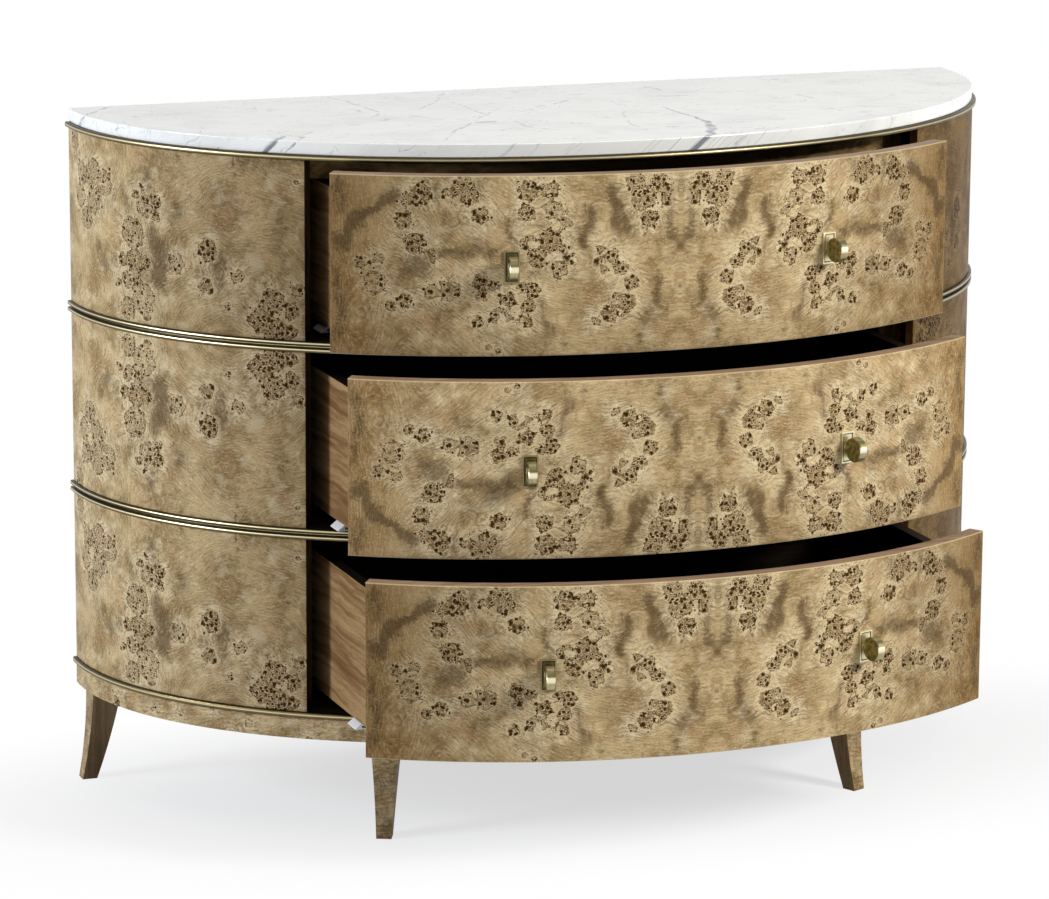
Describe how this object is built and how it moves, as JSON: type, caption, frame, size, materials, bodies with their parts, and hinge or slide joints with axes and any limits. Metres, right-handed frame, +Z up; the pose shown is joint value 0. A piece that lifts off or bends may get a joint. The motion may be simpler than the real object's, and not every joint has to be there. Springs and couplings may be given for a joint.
{
  "type": "demilune chest of drawers",
  "caption": "Half-oval chest with bow-fronted drawers on runners, burl veneer, brass beads between the tiers, a veined marble top and tapered sabre legs.",
  "frame": {"origin": "on the floor under the middle of the part's box as stored, drawers open as pictured", "axes": "+X to the right seen from the front, the front faces -Y, +Z up"},
  "size_m": [1.219, 0.698, 0.8699],
  "materials": {
    "burl_veneer": "satin lacquered burl veneer",
    "drawer_wood": "satin solid wood",
    "dark_wood": "dark stained",
    "marble": "polished, grey veins",
    "brass": "antique satin",
    "steel": "zinc plated",
    "white_plastic": "moulded"
  },
  "bodies": {
    "carcass": {"marble_top": "marble", "top_board": "dark_wood", "top_bead": "brass", "upper_bead": "brass", "lower_bead": "brass", "bottom_bead": "brass", "upper_left_panel": "burl_veneer", "upper_right_panel": "burl_veneer", "middle_left_panel": "burl_veneer", "middle_right_panel": "burl_veneer", "lower_left_panel": "burl_veneer", "lower_right_panel": "burl_veneer", "left_stile": "dark_wood", "right_stile": "dark_wood", "left_partition": "dark_wood", "right_partition": "dark_wood", "top_rail": "dark_wood", "upper_divider": "dark_wood", "lower_divider": "dark_wood", "bottom_board": "dark_wood", "back_panel": "dark_wood", "apron": "burl_veneer", "apron_back_rail": "dark_wood", "front_left_leg": "burl_veneer", "front_right_leg": "burl_veneer", "back_left_leg": "burl_veneer", "back_right_leg": "burl_veneer", "leg_blocks": "dark_wood", "leg_bolts": "steel", "cabinet_runners": "steel"},
    "upper_drawer": {"upper_drawer_front": "burl_veneer", "upper_drawer_left_side": "drawer_wood", "upper_drawer_right_side": "drawer_wood", "upper_drawer_back": "drawer_wood", "upper_drawer_bottom": "drawer_wood", "upper_knob_plates": "brass", "upper_knobs": "brass", "upper_drawer_runners": "steel", "upper_runner_clips": "white_plastic"},
    "upper_middle_slide": {"upper_middle_runners": "steel"},
    "middle_drawer": {"middle_drawer_front": "burl_veneer", "middle_drawer_left_side": "drawer_wood", "middle_drawer_right_side": "drawer_wood", "middle_drawer_back": "drawer_wood", "middle_drawer_bottom": "drawer_wood", "middle_knob_plates": "brass", "middle_knobs": "brass", "middle_drawer_runners": "steel", "middle_runner_clips": "white_plastic"},
    "middle_middle_slide": {"middle_middle_runners": "steel"},
    "lower_drawer": {"lower_drawer_front": "burl_veneer", "lower_drawer_left_side": "drawer_wood", "lower_drawer_right_side": "drawer_wood", "lower_drawer_back": "drawer_wood", "lower_drawer_bottom": "drawer_wood", "lower_knob_plates": "brass", "lower_knobs": "brass", "lower_drawer_runners": "steel", "lower_runner_clips": "white_plastic"},
    "lower_middle_slide": {"lower_middle_runners": "steel"}
  },
  "joints": [
    {"name": "upper_drawer_slide", "type": "slide", "parent": "carcass", "child": "upper_drawer", "axis": [0, -1, 0], "range_m": [-0.089, 0.171]},
    {"name": "upper_runner_slide", "type": "slide", "parent": "carcass", "child": "upper_middle_slide", "axis": [0, -1, 0], "range_m": [-0.0445, 0.0855]},
    {"name": "middle_drawer_slide", "type": "slide", "parent": "carcass", "child": "middle_drawer", "axis": [0, -1, 0], "range_m": [-0.156, 0.104]},
    {"name": "middle_runner_slide", "type": "slide", "parent": "carcass", "child": "middle_middle_slide", "axis": [0, -1, 0], "range_m": [-0.078, 0.052]},
    {"name": "lower_drawer_slide", "type": "slide", "parent": "carcass", "child": "lower_drawer", "axis": [0, -1, 0], "range_m": [-0.221, 0.039]},
    {"name": "lower_runner_slide", "type": "slide", "parent": "carcass", "child": "lower_middle_slide", "axis": [0, -1, 0], "range_m": [-0.1105, 0.0195]}
  ],
  "couplings": [
    {"joint": "upper_runner_slide", "follows": "upper_drawer_slide", "ratio": 0.5},
    {"joint": "middle_runner_slide", "follows": "middle_drawer_slide", "ratio": 0.5},
    {"joint": "lower_runner_slide", "follows": "lower_drawer_slide", "ratio": 0.5}
  ]
}
